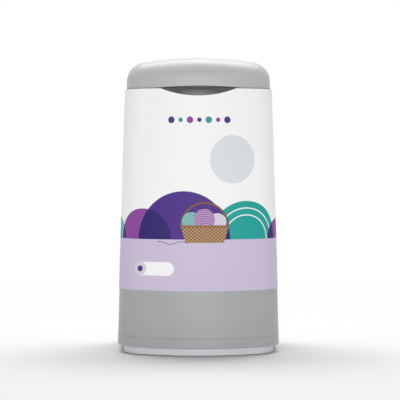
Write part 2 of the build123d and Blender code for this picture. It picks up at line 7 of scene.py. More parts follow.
import bmesh
import bpy
import numpy as np
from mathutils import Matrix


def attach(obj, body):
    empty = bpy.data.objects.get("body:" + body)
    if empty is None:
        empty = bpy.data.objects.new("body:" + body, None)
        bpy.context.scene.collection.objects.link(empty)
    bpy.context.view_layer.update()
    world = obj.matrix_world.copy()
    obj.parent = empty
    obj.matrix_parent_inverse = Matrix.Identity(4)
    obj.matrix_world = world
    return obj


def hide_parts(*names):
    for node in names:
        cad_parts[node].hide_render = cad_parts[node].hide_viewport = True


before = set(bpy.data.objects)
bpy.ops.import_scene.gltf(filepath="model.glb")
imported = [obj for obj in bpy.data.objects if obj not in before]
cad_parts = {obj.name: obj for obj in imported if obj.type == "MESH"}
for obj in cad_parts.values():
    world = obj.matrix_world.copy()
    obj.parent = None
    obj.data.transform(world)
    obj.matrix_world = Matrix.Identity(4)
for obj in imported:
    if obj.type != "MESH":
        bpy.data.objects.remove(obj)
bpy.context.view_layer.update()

# ---------------------------------------------------------------- the view
# A long lens stands straight in front of the pail, lower than its rim and tipped down by less
# than two degrees, so that the lid is seen almost edge-on.

camera_data = bpy.data.cameras.new("camera")
camera_data.lens = 132.8
camera_data.sensor_width = 36.0
camera_data.clip_end = 40.0
camera = bpy.data.objects.new("camera", camera_data)
camera.location = (0.0030, -2.8, 0.368)
camera.rotation_euler = (math.radians(88.25), 0, 0)
bpy.context.scene.collection.objects.link(camera)
bpy.context.scene.camera = camera

# ---------------------------------------------------------------- the lamps
# A long soft box overhead and a little behind, which throws a soft shadow forward, and a broad
# soft light low in front. Neither shows itself to the camera.


def soft_box(name, place, aim, size, watts):
    """Rectangular lamp at a place, turned to face the point it lights."""
    lamp = bpy.data.lights.new(name, "AREA")
    lamp.shape = "RECTANGLE"
    lamp.size, lamp.size_y = size
    lamp.energy = watts
    holder = bpy.data.objects.new(name, lamp)
    holder.location = place
    reach = np.subtract(aim, place)
    across = math.hypot(reach[0], reach[1])
    tilt, heading = math.atan2(across, -reach[2]), math.atan2(-reach[0], reach[1])
    holder.rotation_euler = (tilt, 0, heading)
    holder.visible_camera = False
    bpy.context.scene.collection.objects.link(holder)


soft_box("overhead_box", (0.0, 0.8, 2.9), (0.0, 0.0, 0.2), (3.2, 1.3), 94)
soft_box("front_box", (0.0, -4.0, 0.6), (0.0, 0.0, 0.3), (3.2, 1.2), 61)

# ---------------------------------------------------------------- the sky
# An even sky all round: plain white to the camera and in reflections, and a dimmer light on the
# pail itself. Its strength is the first sum of nodes, so the shader arithmetic stands here.


def tone(*levels):
    """Linear colour, with alpha, from display levels of 0 to 255."""
    share = np.array(levels) / 255
    linear = np.where(share <= 0.04045, share / 12.92, ((share + 0.055) / 1.055) ** 2.4)
    return (*linear.tolist(), 1.0)


class Signal:
    """A shader socket that takes arithmetic: each operator adds one Math node beside it."""

    def __init__(self, web, socket):
        self.web, self.socket = web, socket

    def math(self, operation, *others):
        """This signal, and any others after it, through one Math node."""
        return self.web.node("Math", {"operation": operation}, dict(enumerate((self, *others))))

    def __add__(self, other):
        return self.math("ADD", other)

    def __sub__(self, other):
        return self.math("SUBTRACT", other)

    def __rsub__(self, other):
        return self.web.node("Math", {"operation": "SUBTRACT"}, {0: other, 1: self})

    def __mul__(self, other):
        return self.math("MULTIPLY", other)

    def __truediv__(self, other):
        return self.math("DIVIDE", other)

    __radd__, __rmul__ = __add__, __mul__

    def __abs__(self):
        return self.math("ABSOLUTE")

    def sine(self):
        return self.math("SINE")

    def either(self, other):
        """The larger of two masks."""
        return self.math("MAXIMUM", other)

    def other(self, output):
        """Another output of the node that this signal comes from."""
        return Signal(self.web, self.socket.node.outputs[output])

    def ramp(self, low, high):
        """0 below low, 1 above high, and straight between them."""
        inputs = {"Value": self, "From Min": low, "From Max": high}
        return self.web.node("MapRange", {}, inputs)


class Web:
    """A material's or the world's nodes, all added by one method."""

    def __init__(self, tree):
        self.tree = tree

    def feed(self, socket, value):
        """Links a socket to a signal, or gives it a value."""
        if isinstance(value, Signal):
            self.tree.links.new(value.socket, socket)
        else:
            socket.default_value = value

    def node(self, kind, settings, inputs, output=0):
        """Adds a node, then its settings, then its sockets' values or links; gives one output."""
        made = self.tree.nodes.new("ShaderNode" + kind)
        for key, value in settings.items():
            setattr(made, key, value)
        for key, value in inputs.items():
            self.feed(made.inputs[key], value)
        return Signal(self, made.outputs[output])

    def tint(self, low, high, share):
        """Colour that goes from low to high with a mask."""
        return self.node("Mix", {"data_type": "RGBA"}, {0: share, 6: low, 7: high}, output=2)

    def noise(self, scale, detail, where):
        """Cloudy noise of a scale per metre, from 0 to 1."""
        return self.node("TexNoise", {}, {"Scale": scale, "Detail": detail, "Vector": where})

    def place(self):
        """The point in the piece's own frame, as x, y and z signals, after the whole vector."""
        point = self.node("TexCoord", {}, {}, output="Object")
        x = self.node("SeparateXYZ", {}, {0: point})
        return point, x, x.other(1), x.other(2)

    def length(self, *parts):
        """Length of a vector, from its two or three parts."""
        vector = self.node("CombineXYZ", {}, dict(enumerate(parts)))
        return self.node("VectorMath", {"operation": "LENGTH"}, {0: vector}, "Value")

    def seen(self):
        """1 for what the camera sees straight, in a reflection or through glass."""
        straight = self.node("LightPath", {}, {}, output="Is Camera Ray")
        bounced = straight.other("Is Glossy Ray").either(straight.other("Is Transmission Ray"))
        return straight.either(bounced)

    def relief(self, height, depth):
        """Normal of a surface raised by a mask, depth metres at most."""
        return self.node("Bump", {}, {"Height": height, "Distance": depth})


world = bpy.data.worlds.new("studio_world")
bpy.context.scene.world = world
world.use_nodes = True
sky = Web(world.node_tree)
sky_light = 0.36
sky_level = sky_light + (1 - sky_light) * sky.seen()
sky.feed(world.node_tree.nodes["Background"].inputs["Strength"], sky_level)
sky.feed(world.node_tree.nodes["Background"].inputs["Color"], (1.0, 1.0, 1.0, 1.0))

# ---------------------------------------------------------------- the floor
# A wide matt white sheet. It keeps the pail's soft shadow near the pail, and further off it fades
# into the white of the sky.


def opened(material):
    """A material's web of nodes and its shader's sockets."""
    return Web(material.node_tree), material.node_tree.nodes["Principled BSDF"].inputs


def new_material(name):
    """Material with a bare shader, its web of nodes and the shader's sockets."""
    material = bpy.data.materials.new(name)
    material.use_nodes = True
    return material, *opened(material)


def meshed(name, points, faces, flat=None, marks=None, worked_out=True):
    """Object from an array of points and lists of corners, its doubles merged, smooth shaded but
    for corners over 35 degrees. A worked-out shape has its faces turned outward. Where flat
    gives each point's place on the flat sheet, in metres, that becomes the UV map, and marks
    are numbers kept for each point."""
    mesh = bpy.data.meshes.new(name)
    mesh.from_pydata(np.asarray(points).reshape(-1, 3).tolist(), [], faces)
    if marks is not None:
        kept = mesh.attributes.new("mark", "FLOAT", "POINT")
        kept.data.foreach_set("value", np.asarray(marks, np.float32).ravel())
    if flat is not None:
        corners = np.empty(len(mesh.loops), np.int32)
        mesh.loops.foreach_get("vertex_index", corners)
        uv = mesh.uv_layers.new(name="sheet")
        uv.data.foreach_set("uv", np.asarray(flat).reshape(-1, 2)[corners].ravel())
    shape = bmesh.new()
    shape.from_mesh(mesh)
    bmesh.ops.remove_doubles(shape, verts=shape.verts, dist=1e-6)
    if worked_out:
        bmesh.ops.dissolve_degenerate(shape, edges=shape.edges, dist=1e-7)
        bmesh.ops.recalc_face_normals(shape, faces=shape.faces)
    shape.to_mesh(mesh)
    shape.free()
    mesh.shade_smooth()
    mesh.set_sharp_from_angle(angle=math.radians(35))
    made = bpy.data.objects.new(name, mesh)
    bpy.context.scene.collection.objects.link(made)
    return made


floor_half, fade_start, fade_end = 9.0, 0.55, 1.5
floor_corners = floor_half * np.array([(-1, -1, 0), (1, -1, 0), (1, 1, 0), (-1, 1, 0)])
floor = meshed("studio_floor", floor_corners, [(0, 1, 2, 3)])
floor_material, web, shader = new_material("studio_floor")
point = web.place()[0]
away = web.node("VectorMath", {"operation": "LENGTH"}, {0: point}, output="Value")
shader["Base Color"].default_value = (0.77, 0.77, 0.77, 1.0)
shader["Roughness"].default_value = 0.9
shader["Specular IOR Level"].default_value = 0.1
white = web.node("Emission", {}, {"Color": (1, 1, 1, 1), "Strength": 1.0})
surface = Signal(web, web.tree.nodes["Principled BSDF"].outputs[0])
fade = away.ramp(fade_start, fade_end) * web.seen()
mixed = web.node("MixShader", {}, {0: fade, 1: surface, 2: white})
web.feed(web.tree.nodes["Material Output"].inputs["Surface"], mixed)
floor.data.materials.append(floor_material)

# ---------------------------------------------------------------- rubber feet
# Four round feet of moulded dark rubber, pressed into pockets under the plinth. The sole has a
# sunken middle, a sunken ring and a rounded edge.


def quads(rows, columns, round_rows=False, round_columns=True):
    """Corners of the faces of a grid of points, joined round on itself where asked."""
    row = np.arange(rows if round_rows else rows - 1)[:, None]
    column = np.arange(columns if round_columns else columns - 1)[None, :]
    below, beside = (row + 1) % rows, (column + 1) % columns
    corners = [row * columns + column, row * columns + beside,
               below * columns + beside, below * columns + column]
    return np.stack(corners, axis=-1).reshape(-1, 4)


def turned(profile, middle, along="z", turns=48, closed=False):
    """Surface of revolution: rows of (radius, distance along the axis) are carried round the axis
    through the middle. A row of radius 0 is a pole, and a closed profile joins end to end."""
    radius, distance = np.array(profile).T[:, :, None]
    angle = np.linspace(0, 2 * np.pi, turns, endpoint=False)
    u, v = radius * np.cos(angle), radius * np.sin(angle)
    w = distance + 0 * u
    points = np.stack([u, v, w] if along == "z" else [w, u, v], axis=-1)
    return points.reshape(-1, 3) + np.array(middle), quads(len(profile), turns, closed)


def gathered(*shapes):
    """Several shapes, each its points and its four-cornered faces, as one."""
    starts = np.cumsum([0] + [len(points) for points, _ in shapes])
    points = np.concatenate([points for points, _ in shapes])
    faces = np.concatenate([faces + start for (_, faces), start in zip(shapes, starts)])
    return points, faces.tolist()


def fitted(piece, body, slot, material, *nodes):
    """Gives a piece its material, lets it ride on its body and has it stand for its nodes."""
    piece.data.materials.append(material)
    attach(piece, body)
    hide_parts(*nodes)


def moulded_rubber(name, colour, roughness):
    """Matt rubber: cloudy in tone, with the dull grain of a blasted mould."""
    material, web, shader = new_material(name)
    point = web.place()[0]
    cloud = web.noise(60.0, 3.0, point)
    worn = tone(*(min(level + 14, 255) for level in colour))
    web.feed(shader["Base Color"], web.tint(tone(*colour), worn, cloud.ramp(0.45, 0.8)))
    web.feed(shader["Roughness"], roughness - 0.08 + 0.14 * web.noise(320.0, 2.0, point))
    web.feed(shader["Normal"], web.relief(web.noise(1600.0, 2.0, point), 0.00008))
    shader["Specular IOR Level"].default_value = 0.35
    return material


foot_profile = [
    (0, 0.0008), (0.0030, 0.0008), (0.0034, 0), (0.0046, 0), (0.0050, 0.0008), (0.0070, 0.0008),
    (0.0074, 0), (0.0103, 0), (0.0108, 0.0002), (0.0110, 0.0007), (0.0110, 0.0030), (0, 0.0030),
]
foot_shapes = [
    turned(foot_profile, (side * x, y, 0))
    for side in (-1, 1)
    for x, y in ((0.11107, -0.0664), (0.1140, 0.0878))
]
feet = meshed("rubber_feet_piece", *gathered(*foot_shapes))
fitted(feet, "pail", "rubber", moulded_rubber("foot_rubber", (38, 38, 40), 0.8), "rubber_feet")

# ---------------------------------------------------------------- plinth
# A shallow moulding in a paler grey, set back all round under the pail's wall. Four screws from
# below hold it up against the base tray.


def moulded_plastic(name, colour, roughness=0.42, grain=0.00005):
    """Injection-moulded plastic: a fine spark-etched grain, a tone that drifts very slightly over
    the moulding, and a sheen that is a little duller in patches where it has been handled."""
    material, web, shader = new_material(name)
    point = web.place()[0]
    drift = web.noise(7.0, 2.0, point)
    speck = web.noise(2300.0, 1.0, point)
    low, high = (tone(*(level + change for level in colour)) for change in (-3, 3))
    tinted = web.tint(low, high, drift.ramp(0.3, 0.7))
    dusty = tone(*(level - 7 for level in colour))
    web.feed(shader["Base Color"], web.tint(tinted, dusty, speck.ramp(0.55, 0.9)))
    patch = web.noise(38.0, 4.0, point)
    web.feed(shader["Roughness"], roughness - 0.05 + 0.1 * patch.ramp(0.3, 0.7))
    web.feed(shader["Normal"], web.relief(web.noise(1300.0, 2.0, point), grain))
    shader["Specular IOR Level"].default_value = 0.45
    return material


def welded(node, *trim):
    """The node's own shape with its loose triangles joined, so that its round faces shade
    smoothly, its flat ones stay flat and its corners stay crisp. Trim is shapes with their faces
    already turned outward, moulded in one with it."""
    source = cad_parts[node].data
    points = np.empty(len(source.vertices) * 3)
    source.vertices.foreach_get("co", points)
    corners = np.empty(len(source.loops), np.int32)
    source.loops.foreach_get("vertex_index", corners)
    loose = points.reshape(-1, 3), np.empty((0, 4), int)
    points, trim_faces = gathered(loose, *trim)
    faces = corners.reshape(-1, 3).tolist() + trim_faces
    piece = meshed(node + "_piece", points, faces, worked_out=False)
    piece.modifiers.new("flats", "WEIGHTED_NORMAL").keep_sharp = True
    return piece


plinth_plastic = moulded_plastic("plinth_plastic", (225, 224, 229))
fitted(welded("plinth"), "pail", "plinth_plastic", plinth_plastic, "plinth")

# ---------------------------------------------------------------- screws
# Pan-head screws of zinc-plated steel with a cross slot: four under the plinth, four round the
# hopper's flange, four in the cradle's ears and four that hold the liner in the lid.


def bright_steel(name, colour, roughness):
    """Plated steel: bright metal whose sheen is broken up by fine drawing marks and dull spots."""
    material, web, shader = new_material(name)
    point = web.place()[0]
    spots = web.noise(420.0, 4.0, point)
    dull = tone(*(level - 26 for level in colour))
    web.feed(shader["Base Color"], web.tint(tone(*colour), dull, spots.ramp(0.5, 0.75)))
    web.feed(shader["Roughness"], roughness - 0.07 + 0.2 * spots)
    marks = web.node("Mapping", {}, {"Vector": point, "Scale": (0.08, 1.0, 1.0)})
    web.feed(shader["Normal"], web.relief(web.noise(2600.0, 2.0, marks), 0.00002))
    shader["Metallic"].default_value = 1.0
    return material


zinc = bright_steel("zinc_plated_steel", (196, 197, 199), 0.34)
for screw_node, screw_body in (
    ("plinth_screws", "pail"),
    ("hopper_screws", "head"),
    ("cradle_screws", "head"),
    ("lid_screws", "lid"),
):
    fitted(welded(screw_node), screw_body, "steel", zinc, screw_node)

# ---------------------------------------------------------------- base tray and body shell
# Two mouldings in the same satin grey. The tray closes the bottom and the shell drops over its
# spigot, which leaves the fine seam near the floor. The rim, the finger scoop and the outer
# hinge ears are moulded in one with the shell.

pail_grey = moulded_plastic("pail_plastic", (169, 169, 172))
fitted(welded("base_tray"), "pail", "pail_plastic", pail_grey, "base_tray")


def paint_shade_over(web, shader, painted_shading, where):
    """Paints another colour over part of a moulding, where a mask says: here it lays painted shade."""
    plain = Signal(web, shader["Base Color"].links[0].from_socket)
    web.feed(shader["Base Color"], web.tint(plain, painted_shading, where))


# Inside the scoop, a round hollow about an axis that runs from front to back, the grey is painted
# near-black as painted shade under the lid's lip, fading to a paler painted light low in the middle,
# where the scoop's floor faces up
scoop_axis_z, scoop_radius, scoop_back = 0.65958, 0.18338, -0.1000
lit_floor_z, lit_floor_squash, lit_floor_near, lit_floor_far = 0.4765, 0.28, 0.0020, 0.0125
shell_grey = moulded_plastic("shell_plastic", (169, 169, 172))
web, shader = opened(shell_grey)
_, x, y, z = web.place()
from_axis = web.length(x, z - scoop_axis_z)
in_scoop = 1 - from_axis.ramp(scoop_radius - 0.0002, scoop_radius)
in_scoop = in_scoop * (1 - y.ramp(scoop_back - 0.0001, scoop_back))
from_lit_floor = web.length(lit_floor_squash * x, z - lit_floor_z)
painted_shade_share = from_lit_floor.ramp(lit_floor_near, lit_floor_far)
# Painted shade at the top and corners of the scoop, painted light low in its middle
painted_shading = web.tint(tone(134, 134, 137), tone(26, 26, 28), painted_shade_share)
paint_shade_over(web, shader, painted_shading, in_scoop)
fitted(welded("body_shell"), "pail", "pail_plastic", shell_grey, "body_shell")

# ---------------------------------------------------------------- printed sleeve
# One sheet of coated board wrapped round the shell and glued in a lap at the back. Its top edge
# dips under the finger scoop and is cut away at the back to clear the hinges.

lean = math.tan(math.radians(1.78))
half_width, half_depth = 0.1517, 0.1255
bow_radius, front_radius, rear_radius = 0.260, 0.070, 0.060
bow_y = bow_radius - half_depth
front_x = half_width - front_radius
front_y = bow_y - math.sqrt((bow_radius - front_radius) ** 2 - front_x**2)
rear_x, rear_y = half_width - rear_radius, half_depth - rear_radius
bow_turn = math.atan2(front_y - bow_y, front_x)
bow_end, corner_end, side_end, rear_end, back_middle = np.cumsum([
    bow_radius * (bow_turn + math.pi / 2),
    -front_radius * bow_turn,
    rear_y - front_y,
    rear_radius * math.pi / 2,
    rear_x,
]).tolist()


def wall_points(walk, height, inset):
    """Points of a wall that follows the pail's outline. The walk is measured round the outline at
    floor level from the middle of the front, to the right for positive: a wide bow, a front
    corner, a straight side, a rear corner and a straight back. The wall leans in by the draft as
    it rises, and stands in by the inset along the outline's normal."""
    walk, height, inset = np.broadcast_arrays(walk, height, inset)
    walk = (walk + back_middle) % (2 * back_middle) - back_middle
    hand, gone = np.where(walk < 0, -1, 1), np.abs(walk)
    stretch = [gone < bow_end, gone < corner_end, gone < side_end, gone < rear_end]
    facing = np.select(stretch, [
        gone / bow_radius - np.pi / 2,
        bow_turn + (gone - bow_end) / front_radius,
        0 * gone,
        (gone - side_end) / rear_radius,
    ], np.pi / 2)
    nx, ny = np.cos(facing), np.sin(facing)
    x = np.select(stretch, [
        bow_radius * nx, front_x + front_radius * nx, half_width + 0 * gone, rear_x + rear_radius * nx,
    ], rear_x + rear_end - gone)
    y = np.select(stretch, [
        bow_y + bow_radius * ny, front_y + front_radius * ny, front_y + gone - corner_end,
        rear_y + rear_radius * ny,
    ], half_depth)
    step = lean * height + inset
    return np.stack([hand * (x - step * nx), y - step * ny, height], axis=-1)


def stations(*extra):
    """Walks at which a wall is cut into columns: close together round the corners, and at both
    sides of the middle wherever an extra one is asked for."""
    ends = (0, bow_end, corner_end, side_end, rear_end, back_middle)
    spans = zip(ends, ends[1:], (20, 34, 6, 30, 12))
    half = np.concatenate([np.linspace(start, end, count) for start, end, count in spans])
    half = np.concatenate([half, extra])
    return np.unique(np.concatenate([-half, half]).round(7))


sleeve_low, sleeve_high, proud = 0.120, 0.4895, 0.001
board, glue = 0.0008, 0.00003
scoop_half, ear_half, ear_low = 0.0691, 0.080, 0.466
lap_half, lap_slope = 0.012, 0.003
scoop_walk = bow_radius * math.asin(scoop_half / (bow_radius - lean * sleeve_high + proud))
ear_walk = rear_end + rear_x - ear_half
lap_start, lap_end = back_middle - lap_half, back_middle + lap_half

# From the outer face's foot up to the top edge, and down the inner face again. A step in the top
# edge is two columns a hair apart, and the lap climbs over the other end of the sheet.
walks = stations(scoop_walk, ear_walk - 2e-6, ear_walk + 2e-6, lap_start, lap_start + lap_slope)
walks = np.concatenate([walks, [back_middle + lap_half / 2, lap_end]])
over, _, _ = wall_points(walks, sleeve_high, -proud).T
scoop_edge = scoop_axis_z - np.sqrt(np.maximum((scoop_radius + 0.0002) ** 2 - over**2, 0))
cut_out = [np.abs(walks) < scoop_walk, np.abs(walks) > ear_walk]
sleeve_tops = np.select(cut_out, [scoop_edge, ear_low], sleeve_high)
lapped = (board + glue) * np.clip((walks - lap_start) / lap_slope, 0, 1)
up = np.concatenate([np.linspace(0, 1, 9), np.linspace(1, 0, 9)])[:, None]
inner = np.repeat([0.0, 1.0], 9)[:, None]
heights = sleeve_low + up * (sleeve_tops - sleeve_low)
sleeve_points = wall_points(walks, heights, board * inner - proud - lapped)
sleeve_flat = np.stack([walks + 0 * heights, heights], axis=-1)
outer_mark = 1 - inner + 0 * heights
sleeve_faces = quads(*heights.shape, round_rows=True, round_columns=False).tolist()
sleeve_faces += [(np.arange(len(up)) * len(walks) + end).tolist() for end in (0, len(walks) - 1)]
sleeve = meshed("printed_sleeve_piece", sleeve_points, sleeve_faces, sleeve_flat, outer_mark)

board_print, web, shader = new_material("sleeve_board")
sheet = web.node("TexCoord", {}, {}, output="UV")
along = web.node("SeparateXYZ", {}, {0: sheet})
height = along.other(1)
crisp = 0.0004


def distance_to(walk, level):
    """Distance on the flat sheet to the point at a walk along it and a height up it."""
    ends = {0: sheet, 1: (walk, level, 0)}
    return web.node("VectorMath", {"operation": "DISTANCE"}, ends, "Value")


def within(distance, reach):
    """Mask of everything nearer than a reach, with a crisp printed edge."""
    return 1 - distance.ramp(reach - crisp, reach + crisp)


def between(value, low, high):
    """Mask of the stretch of a value from low to high."""
    return value.ramp(low - crisp, low + crisp) * (1 - value.ramp(high - crisp, high + crisp))


paper_white, mist, lilac = tone(251, 251, 252), tone(224, 227, 232), tone(207, 196, 220)
violet, plum, aqua, dusk = tone(78, 46, 136), tone(142, 72, 158), tone(30, 164, 155), tone(46, 30, 108)
cane_dark, cane_rim, cane_light = tone(126, 88, 58), tone(150, 108, 72), tone(196, 158, 116)

# Ground: white, with two pale discs like low suns
printed = web.tint(paper_white, mist, within(distance_to(0.066, 0.360), 0.044))
printed = web.tint(printed, mist, within(distance_to(0.300, 0.372), 0.042))

# A row of round hills along the band, darker where the inks of two hills cross, with thin white
# rings inside those of the brightest ink
band_top = 0.2140
covered = within(distance_to(0.405, band_top), 0.030)
printed = web.tint(printed, plum, covered)
for walk, reach, ink in (
    (-0.352, 0.056, violet),
    (-0.262, 0.044, plum),
    (-0.190, 0.040, aqua),
    (-0.108, 0.056, plum),
    (-0.028, 0.088, violet),
    (0.092, 0.070, aqua),
    (0.176, 0.036, plum),
    (0.262, 0.062, violet),
    (0.345, 0.046, aqua),
):
    middle = distance_to(walk, band_top)
    hill = within(middle, reach)
    printed = web.tint(web.tint(printed, ink, hill), dusk, hill * covered)
    covered = covered.either(hill)
    if ink is aqua:
        for share in (0.62, 0.80):
            ring = between(middle, share * reach, (share + 0.03) * reach)
            printed = web.tint(printed, paper_white, ring)
printed = web.tint(printed, lilac, within(height, band_top))

# A row of round beads, large and small in turn, below the scoop
for walk, reach, ink in (
    (-0.052, 0.0062, violet),
    (-0.034, 0.0042, aqua),
    (-0.016, 0.0062, plum),
    (0.002, 0.0042, violet),
    (0.020, 0.0062, aqua),
    (0.038, 0.0042, plum),
    (0.056, 0.0062, violet),
):
    printed = web.tint(printed, ink, within(distance_to(walk, 0.432), reach))

# A low woven basket with an arched handle stands on the band. Three balls of yarn lie in it, and
# a loose thread runs off to the left.
basket_walk, basket_low, basket_high, handle_low = 0.012, 0.2080, 0.2400, 0.2360
basket_foot, basket_flare = 0.036, 0.30
handle = between(distance_to(basket_walk, handle_low), 0.0430, 0.0465)
handle = handle * height.ramp(handle_low, handle_low + 0.0008)
printed = web.tint(printed, cane_dark, handle)
for walk, level, reach, ink, off in (
    (-0.013, 0.246, 0.018, aqua, (0.002, 0.224)),
    (0.036, 0.245, 0.017, lilac, (0.016, 0.236)),
    (0.011, 0.250, 0.020, plum, (0.014, 0.221)),
):
    wound = (distance_to(*off) * 1900.0).sine().ramp(-0.5, 0.5)
    strands = web.tint(ink, paper_white, 0.42 * wound)
    printed = web.tint(printed, strands, within(distance_to(walk, level), reach))
basket_half = basket_foot + basket_flare * (height - basket_low)
basket = between(height, basket_low, basket_high) * within(abs(along - basket_walk), basket_half)
cane = ((along * 820.0).sine() * (height * 1050.0).sine()).ramp(-0.35, 0.35)
woven = web.tint(cane_dark, cane_light, cane)
woven = web.tint(woven, cane_rim, between(height, basket_high - 0.0050, basket_high))
printed = web.tint(printed, woven, basket)
thread_level, thread_swing, thread_left, thread_right = 0.2075, 0.0024, -0.078, -0.020
wave = thread_level + thread_swing * (along * 150.0).sine()
thread = within(abs(height - wave), 0.0007) * between(along, thread_left, thread_right)
printed = web.tint(printed, plum, thread)

# A small drawing of a film roll on the band: a pale tube with a violet core
tube_left, tube_right, tube_level, tube_reach, core_reach = -0.112, -0.058, 0.160, 0.0125, 0.0055
near_end, far_end = distance_to(tube_left, tube_level), distance_to(tube_right, tube_level)
tube = within(abs(height - tube_level), tube_reach) * between(along, tube_left, tube_right)
printed = web.tint(printed, paper_white, tube.either(within(far_end, tube_reach)))
printed = web.tint(printed, tone(214, 214, 222), within(near_end, tube_reach))
printed = web.tint(printed, violet, within(near_end, core_reach))

# Raw grey board shows at the cut edges and inside; the print is coated and very slightly uneven
fibre = web.noise(900.0, 4.0, sheet)
printed = web.tint(printed, tone(196, 194, 192), 0.02 * fibre)
outside = web.node("Attribute", {"attribute_name": "mark"}, {}, output="Fac")
raw = web.tint(tone(196, 192, 186), tone(172, 168, 162), fibre)
web.feed(shader["Base Color"], web.tint(raw, printed, outside.ramp(0.4, 0.9)))
web.feed(shader["Roughness"], 0.46 + 0.08 * web.noise(45.0, 3.0, sheet) + 0.3 * (1 - outside))
slack = web.noise(16.0, 2.0, sheet) + 0.02 * fibre
web.feed(shader["Normal"], web.relief(slack, 0.0008))
shader["Specular IOR Level"].default_value = 0.2
fitted(sleeve, "pail", "sleeve_board", board_print, "printed_sleeve")

# ---------------------------------------------------------------- hinge pins
# Two plain steel pins at the back. Each runs through a knuckle of the lid, one of the head and an
# ear of the shell, so that both hinges share one axis.

fitted(welded("hinge_pins"), "pail", "steel", zinc, "hinge_pins")

# ---------------------------------------------------------------- head frame and its gasket
# A smooth pale moulding that closes the top of the pail: a deck with a skirt that locates in the
# rim, resting on a soft grey gasket laid all round under the deck's edge. Above the scoop the
# edge is painted near-black: painted shade where the lid's lip overhangs it.


def bead(low, high, near, far, squareness=4.0, count=24):
    """Soft seal laid round the pail's outline: its section is a squarish oval between two heights
    and two insets, whose sine and cosine are raised to 2 over the squareness."""
    walks = stations()
    angle = np.linspace(0, 2 * np.pi, count, endpoint=False)[:, None]
    across, up = np.cos(angle), np.sin(angle)
    across, up = (np.sign(part) * np.abs(part) ** (2 / squareness) for part in (across, up))
    heights = (high + low) / 2 + (high - low) / 2 * up
    insets = (far + near) / 2 + (far - near) / 2 * across
    return wall_points(walks, heights, insets), quads(count, len(walks), True, False).tolist()


deck_top, edge_reach, edge_half = 0.4950, 0.2380, 0.0864
inner_white = moulded_plastic("inner_plastic", (196, 196, 198), 0.34, 0.00002)
seal_grey = moulded_rubber("seal_rubber", (86, 86, 90), 0.62)
deck_white = moulded_plastic("deck_plastic", (196, 196, 198), 0.34, 0.00002)
web, shader = opened(deck_white)
_, x, y, z = web.place()
# The deck's edge over the scoop is painted near-black as painted shade
painted_shade_edge = web.length(x, y - bow_y).ramp(edge_reach - 0.0004, edge_reach)
painted_shade_edge = painted_shade_edge * (1 - abs(x).ramp(edge_half - 0.0004, edge_half))
painted_shade_edge = painted_shade_edge * (1 - z.ramp(deck_top - 0.0004, deck_top - 0.0001))
paint_shade_over(web, shader, tone(30, 30, 32), painted_shade_edge)
fitted(welded("head_frame"), "head", "inner_plastic", deck_white, "head_frame")
head_gasket = meshed("head_gasket_piece", *bead(0.4900, 0.4915, 0.0065, 0.0115))
fitted(head_gasket, "head", "seal_rubber", seal_grey, "head_gasket")

# ---------------------------------------------------------------- hopper and trap flaps
# The hopper is a funnel hung through the deck on its flange. Two ribbed flaps close its throat,
# each with a soft lip on its free edge, on a steel pin that runs through cheeks of the hopper
# and is held by a spring clip at each end.

fitted(welded("hopper"), "head", "inner_plastic", inner_white, "hopper")
flap_grey = moulded_plastic("flap_plastic", (149, 149, 156), 0.36, 0.00003)
for trap in ("front", "rear"):
    fitted(welded(trap + "_flap"), trap + "_trap", "flap_plastic", flap_grey, trap + "_flap")
    lip = trap + "_flap_lip"
    fitted(welded(lip), trap + "_trap", "seal_rubber", seal_grey, lip)
fitted(welded("flap_pins"), "head", "steel", zinc, "flap_pins")
fitted(welded("pin_clips"), "head", "steel", zinc, "pin_clips")

# ---------------------------------------------------------------- flap springs
# Four torsion springs wound from bright wire, one at each end of both pins. A leg stands up
# against the throat, and eight close turns lie round the pin.

pin_height, front_pin_y, rear_pin_y, spring_x = 0.4481, -0.0631, 0.0231, 0.06575
wire, coil, turn_count, leg_length = 0.00055, 0.00285, 8, 0.0075


def wire_along(path, normal, radius):
    """Round wire along a path of points: rings in the plane of a normal and of its cross product
    with the path's direction, closed at both ends by a ring of no radius."""
    path, normal = (np.concatenate([part[:1], part, part[-1:]]) for part in (path, normal))
    radii = np.full(len(path), radius)
    radii[[0, -1]] = 0
    heading = np.gradient(path[1:-1], axis=0)
    heading = np.concatenate([heading[:1], heading, heading[-1:]])
    heading /= np.linalg.norm(heading, axis=-1, keepdims=True)
    side = np.cross(heading, normal)
    side /= np.linalg.norm(side, axis=-1, keepdims=True)
    angle = np.linspace(0, 2 * np.pi, 12, endpoint=False)[:, None]
    ring = normal[:, None] * np.cos(angle) + side[:, None] * np.sin(angle)
    points = path[:, None] + radii[:, None, None] * ring
    return points.reshape(-1, 3), quads(len(path), 12)


def torsion_spring(hand, end, y):
    """A leg straight down to the pin's height, then a helix round the pin: x grows by two wire
    radii a turn while y and z go round on the coil's radius. Hand is the side of the pail and
    end is the side of the pin on which the leg stands."""
    down = np.linspace(leg_length, 0.0, 12, endpoint=False)[:, None]
    leg = down * (0, 0, 1) + (0, coil, 0)
    turn = np.linspace(0, 2 * np.pi * turn_count, 24 * turn_count)[:, None]
    radial = np.cos(turn) * (0, 1, 0) - np.sin(turn) * (0, 0, 1)
    helix = coil * radial + turn * (wire / np.pi) * (1, 0, 0)
    normal = np.concatenate([0 * leg + (0, 1, 0), radial])
    points, faces = wire_along(np.concatenate([leg, helix]), normal, wire)
    return points * (hand, end, 1) + (hand * spring_x, y, pin_height), faces


springs = [
    torsion_spring(hand, end, y)
    for hand in (-1, 1)
    for end, y in ((-1, front_pin_y), (1, rear_pin_y))
]
spring_steel = bright_steel("spring_wire", (168, 170, 174), 0.26)
flap_springs = meshed("flap_springs_piece", *gathered(*springs))
fitted(flap_springs, "head", "steel", spring_steel, "flap_springs")

# ---------------------------------------------------------------- roll cradle
# A grey moulded trough across the deck behind the hopper, held down by four screws. The roll's
# hubs turn in its open slots.

